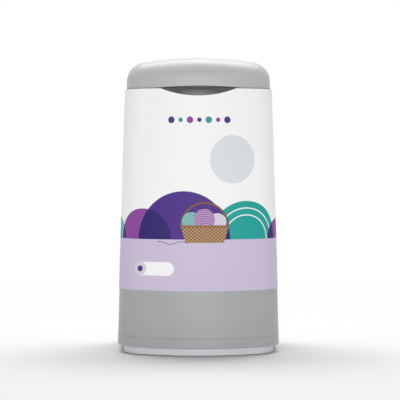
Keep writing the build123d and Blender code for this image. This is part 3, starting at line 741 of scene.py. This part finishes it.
cradle_grey = moulded_plastic("cradle_plastic", (188, 188, 192), 0.36, 0.00003)
fitted(welded("roll_cradle"), "head", "cradle_plastic", cradle_grey, "roll_cradle")

# ---------------------------------------------------------------- film roll
# Thin glossy film wound on a brown board tube and held by a paper band. The wound ends are not
# quite flush, and the loose end of the film leaves a fine step along the roll. Teal plastic hubs
# are pushed into both ends of the tube.

roll_y, roll_z = 0.065, 0.5
roll_place = (0.0, roll_y, roll_z)
roll_outside, roll_inside, roll_half = 0.0190, 0.0125, 0.0880
roll_edge, swell_depth = 0.0004, 0.00012
rng = np.random.default_rng(11)


def with_loose_end(shape, share):
    """Lathed shape whose radius about the roll's axis shrinks evenly once round, so that it ends
    in a step where the winding stops."""
    points, faces = shape
    x, y, z = (points - roll_place).T
    kept = 1 - share * (np.arctan2(z, y) / (2 * np.pi) % 1)
    return np.column_stack([x, y * kept, z * kept]) + roll_place, faces


layers = np.linspace(roll_outside - roll_edge, roll_inside, 26)
ragged = roll_half - rng.uniform(0.0, roll_edge, (2, len(layers)))
swell = np.linspace(-roll_half + roll_edge, roll_half - roll_edge, 45).tolist()
roll_profile = [(roll_outside - swell_depth * abs(math.sin(240 * x)), x) for x in swell]
roll_profile += np.stack([layers, ragged[0]], axis=1).tolist()
roll_profile += np.stack([layers[::-1], -ragged[1]], axis=1).tolist()
roll_shape = turned(roll_profile, roll_place, "x", 120, closed=True)
roll = meshed("film_roll_piece", *gathered(with_loose_end(roll_shape, 0.014)))

film, web, shader = new_material("wound_film")
point, x, y, z = web.place()
wound_end = abs(x).ramp(roll_half - 0.0010, roll_half - 0.0006)
rings = (web.length(y - roll_y, z - roll_z) * 15000.0).sine() * wound_end
drawn_out = web.node("Mapping", {}, {"Vector": point, "Scale": (24.0, 260.0, 260.0)})
crease = web.noise(1.0, 4.0, drawn_out)
pale, deep = tone(226, 228, 233), tone(196, 199, 208)
depth = 0.5 * crease + 0.25 * wound_end + 0.2 * rings
web.feed(shader["Base Color"], web.tint(pale, deep, depth))
web.feed(shader["Roughness"], 0.2 + 0.2 * crease + 0.25 * wound_end)
web.feed(shader["Normal"], web.relief(0.0003 * crease + 0.00005 * rings, 1.0))
shader["Specular IOR Level"].default_value = 0.6
shader["Coat Weight"].default_value = 0.3
fitted(roll, "roll", "film", film, "film_roll")

core_board, web, shader = new_material("core_board")
point, x, y, z = web.place()
around = (z - roll_z).math("ARCTAN2", y - roll_y) / (2 * math.pi)
spiral_lead = 0.055
spiral = (x / spiral_lead + around).math("FRACT")
seam = between(spiral, 0.0, 0.03)
fibre = web.noise(700.0, 4.0, point)
kraft = web.tint(tone(176, 141, 104), tone(148, 114, 80), fibre)
web.feed(shader["Base Color"], web.tint(kraft, tone(120, 90, 62), 0.7 * seam))
web.feed(shader["Roughness"], 0.78 + 0.1 * fibre)
web.feed(shader["Normal"], web.relief(0.00006 * fibre - 0.0001 * seam, 1.0))
fitted(welded("roll_core"), "roll", "core_card", core_board, "roll_core")

band_half, band_outside, band_round = 0.0200, 0.0193, 0.0001
band_profile = [
    (roll_outside, -band_half),
    (band_outside - 0.8 * band_round, -band_half),
    (band_outside, -band_half + band_round),
    (band_outside, band_half - band_round),
    (band_outside - 0.8 * band_round, band_half),
    (roll_outside, band_half),
]
band_shape = turned(band_profile, roll_place, "x", 120, closed=True)
band = meshed("roll_band_piece", *gathered(with_loose_end(band_shape, 0.010)))
band_paper, web, shader = new_material("band_paper")
point, x, y, z = web.place()
fibre = web.noise(1100.0, 3.0, point)
stripe = between(abs(x), 0.0150, 0.0162).either(between(abs(x), 0.0172, 0.0178))
ink = web.tint(tone(178, 152, 204), tone(166, 140, 192), fibre)
web.feed(shader["Base Color"], web.tint(ink, paper_white, stripe))
web.feed(shader["Roughness"], 0.5 + 0.15 * fibre)
web.feed(shader["Normal"], web.relief(fibre, 0.00003))
fitted(band, "roll", "band_paper", band_paper, "roll_band")

teal_plastic = moulded_plastic("hub_plastic", (38, 155, 150), 0.2, 0.00001)
fitted(welded("roll_hubs"), "roll", "hub_plastic", teal_plastic, "roll_hubs")

# ---------------------------------------------------------------- film cutter
# A small glossy moulding on the deck at the right of the hopper. A thin steel blade is held
# across the bottom of its slot, out of reach of fingers.

violet_plastic = moulded_plastic("accent_plastic", (80, 48, 137), 0.18, 0.00001)
fitted(welded("cutter_housing"), "head", "accent_plastic", violet_plastic, "cutter_housing")
blade_steel = bright_steel("blade_steel", (188, 190, 193), 0.2)
fitted(welded("cutter_blade"), "head", "steel", blade_steel, "cutter_blade")

# ---------------------------------------------------------------- slide bolt
# A glossy plate that slides in a slot of the head. A grip with upright ribs on both its faces
# stands above its cap, and its nose hooks under the shell's scoop to lock the head down.

grip_front, grip_back, cap_top = -0.08365, -0.08140, 0.4978
rib_radius, rib_foot, rib_top = 0.00045, cap_top - 0.0001, cap_top + 0.0035
rib_profile = [
    (0, rib_foot), (rib_radius, rib_foot), (rib_radius, rib_top - 0.0004),
    (rib_radius - 0.00015, rib_top - 0.0001), (0, rib_top),
]
grip_ribs = [
    turned(rib_profile, (x, y, 0), turns=14)
    for x in np.linspace(-0.0105, 0.0105, 14)
    for y in (grip_front, grip_back)
]
fitted(welded("slide_bolt", *grip_ribs), "bolt", "accent_plastic", violet_plastic, "slide_bolt")

# ---------------------------------------------------------------- lid shell
# A pale grey moulding with a gently domed crown, a wide round shoulder and leaning walls. Its
# front edge arches up over the finger scoop, two arms at the back carry its hinge knuckles, and
# four bosses inside take the liner's screws.

lid_low, lid_setback, lid_wall, lid_edge = 0.4905, 0.0025, 0.0026, 0.0008
shoulder, crown, crown_centre = 0.0360, 0.640, -0.0900
lean_sine, lean_cosine = math.sin(math.atan(lean)), math.cos(math.atan(lean))
lip_half, lip_rise = 0.0800, 0.0036
lip_radius = (lip_half**2 + lip_rise**2) / (2 * lip_rise)
notch_near, notch_far, notch_top = 0.0530, 0.0650, 0.4955
inner_arm, arm_width = 0.0420, 0.0110

arch_walk = bow_radius * math.asin(lip_half / (bow_radius - lean * lid_low - lid_setback))
notch_steps = [rear_end + rear_x - x + step for x in (notch_near, notch_far) for step in (-2e-6, 2e-6)]
lid_walks = stations(arch_walk, *notch_steps)


def lid_surface(depth):
    """Rows of the lid's skin at a depth under its outside, from the middle of the crown to the
    lower edge. A ball rolls round inside the leaning wall and the crown's sphere. The height at
    which it touches the wall solves the quadratic that puts its centre one ball radius inside
    the sphere. The crown is the sphere from its top to the ball, the shoulder turns from the
    sphere's normal to the wall's round the ball's centre, and the wall runs down from there."""
    ball, sphere = shoulder - depth, crown - depth
    start, ahead = (
        wall_points(lid_walks, level, lid_setback + depth + ball * lean_cosine)[:, :2]
        for level in (0.0, 1.0)
    )
    slope = ahead - start
    drop = -crown_centre - ball * lean_sine
    square = (slope**2).sum(-1) + 1
    linear = (start * slope).sum(-1) + drop
    rest = (start**2).sum(-1) + drop**2 - (sphere - ball) ** 2
    touch = (np.sqrt(linear**2 - square * rest) - linear) / square
    centre = np.column_stack([start + slope * touch[:, None], touch - ball * lean_sine])
    wall_normal = np.column_stack([-slope / lean * lean_cosine, np.full(len(slope), lean_sine)])
    crown_normal = (centre - (0, 0, crown_centre)) / (sphere - ball)
    bend = np.arccos((wall_normal * crown_normal).sum(-1))[None, :, None]
    turn = np.linspace(1, 0, 26)[:, None, None]
    normal = (np.sin((1 - turn) * bend) * wall_normal + np.sin(turn * bend) * crown_normal) / np.sin(bend)
    round_part = centre + ball * normal
    spread = np.linspace(0, 1, 18, endpoint=False)[:, None, None] * round_part[0, :, :2]
    rise = crown_centre + np.sqrt(sphere**2 - (spread**2).sum(-1, keepdims=True))
    crown_part = np.concatenate([spread, rise], axis=-1)
    low = lower_edge + lid_edge
    down = np.linspace(0, 1, 7)[1:, None]
    wall_part = wall_points(lid_walks, touch + down * (low - touch), lid_setback + depth)
    return np.concatenate([crown_part, round_part, wall_part])


edge_x, edge_y, _ = wall_points(lid_walks, lid_low, lid_setback).T
arched = lip_rise - lip_radius + np.sqrt(np.maximum(lip_radius**2 - edge_x**2, 0))
notched = (edge_y > 0) & (np.abs(edge_x) > notch_near) & (np.abs(edge_x) < notch_far)
lower_edge = np.select([notched, edge_y < 0], [notch_top, lid_low + np.maximum(arched, 0)], lid_low)

bevel = np.linspace(0, np.pi / 2, 5)[1:, None]
outer_round = wall_points(
    lid_walks, lower_edge + lid_edge * (1 - np.sin(bevel)), lid_setback + lid_edge * (1 - np.cos(bevel))
)
inner_round = wall_points(
    lid_walks,
    lower_edge + lid_edge * (1 - np.cos(bevel)),
    lid_setback + lid_wall - lid_edge * (1 - np.sin(bevel)),
)
lid_rows = np.concatenate([
    lid_surface(0.0), outer_round, inner_round[:-1], lid_surface(lid_wall)[::-1],
])
lid_skin = lid_rows.reshape(-1, 3), quads(len(lid_rows), len(lid_walks), False, False)

boss_radius, boss_bore, boss_low, boss_high = 0.0050, 0.0014, 0.5270, 0.5435
boss_x, boss_y = 0.070, 0.042
boss_profile = [
    (boss_radius, boss_low), (boss_radius, boss_high), (boss_bore, boss_high), (boss_bore, boss_low),
]
bosses = [
    turned(boss_profile, (side * boss_x, end * boss_y, 0), closed=True)
    for side in (-1, 1)
    for end in (-1, 1)
]

hinge_y, hinge_z, knuckle, arm_bore = 0.118834, 0.489, 0.0062, 0.0023
web_hollow, swing_clear, knuckle_round = 0.0040, 0.00796, 0.0004
web_front, web_top = 0.1065, 0.4977


def about_hinge(radius, *degrees):
    """Points of the hinge's cross-section at a radius and at angles from the rear, as y and z."""
    angle = np.radians(degrees)
    return np.column_stack([hinge_y + radius * np.cos(angle), hinge_z + radius * np.sin(angle)])


# The arm's web: out from the wall to the knuckle, round the bore on the wall's side, and back
# along the arc that keeps clear of the swing
web_loop = np.concatenate([
    [(web_front, lid_low), (web_front, web_top)],
    about_hinge(knuckle, 79.1),
    about_hinge(web_hollow, 90, 120, 150, 180, 210),
    about_hinge(knuckle, 227.1),
    about_hinge(swing_clear, 188.3, 178.7, 169.1),
])
web_points = np.concatenate([
    np.column_stack([np.full(len(web_loop), step), web_loop])
    for step in (inner_arm, inner_arm + arm_width)
])
web_sides = quads(2, len(web_loop)).tolist()
web_ends = (np.arange(2)[:, None] * len(web_loop) + np.arange(len(web_loop))).tolist()
knuckle_profile = [
    (arm_bore, 0), (knuckle - knuckle_round, 0), (knuckle, knuckle_round),
    (knuckle, arm_width - knuckle_round), (knuckle - knuckle_round, arm_width), (arm_bore, arm_width),
]
knuckles = [
    turned(knuckle_profile, (start, hinge_y, hinge_z), "x", closed=True)
    for start in (inner_arm, -inner_arm - arm_width)
]
lid_points, lid_faces = gathered(lid_skin, *bosses, *knuckles)
for side in (1, -1):
    start = len(lid_points)
    lid_points = np.concatenate([lid_points, web_points * (side, 1, 1)])
    lid_faces += [[start + corner for corner in face] for face in web_sides + web_ends]

lid_grey = moulded_plastic("lid_plastic", (186, 186, 188))
lid_shell = meshed("lid_shell_piece", lid_points, lid_faces)
fitted(lid_shell, "lid", "lid_plastic", lid_grey, "lid_shell")

# ---------------------------------------------------------------- lid liner and its gasket
# An upturned tray screwed up inside the lid, which hides the lid's bosses. A soft grey seal with
# a rounded section runs round its lower edge, a hair above the head's deck.

fitted(welded("lid_liner"), "lid", "lid_plastic", lid_grey, "lid_liner")
lid_gasket = meshed("lid_gasket_piece", *bead(0.4953, 0.4980, 0.0120, 0.0160))
fitted(lid_gasket, "lid", "seal_rubber", seal_grey, "lid_gasket")

# ---------------------------------------------------------------- close
# The display colour is plain.

bpy.context.scene.view_settings.view_transform = "Standard"
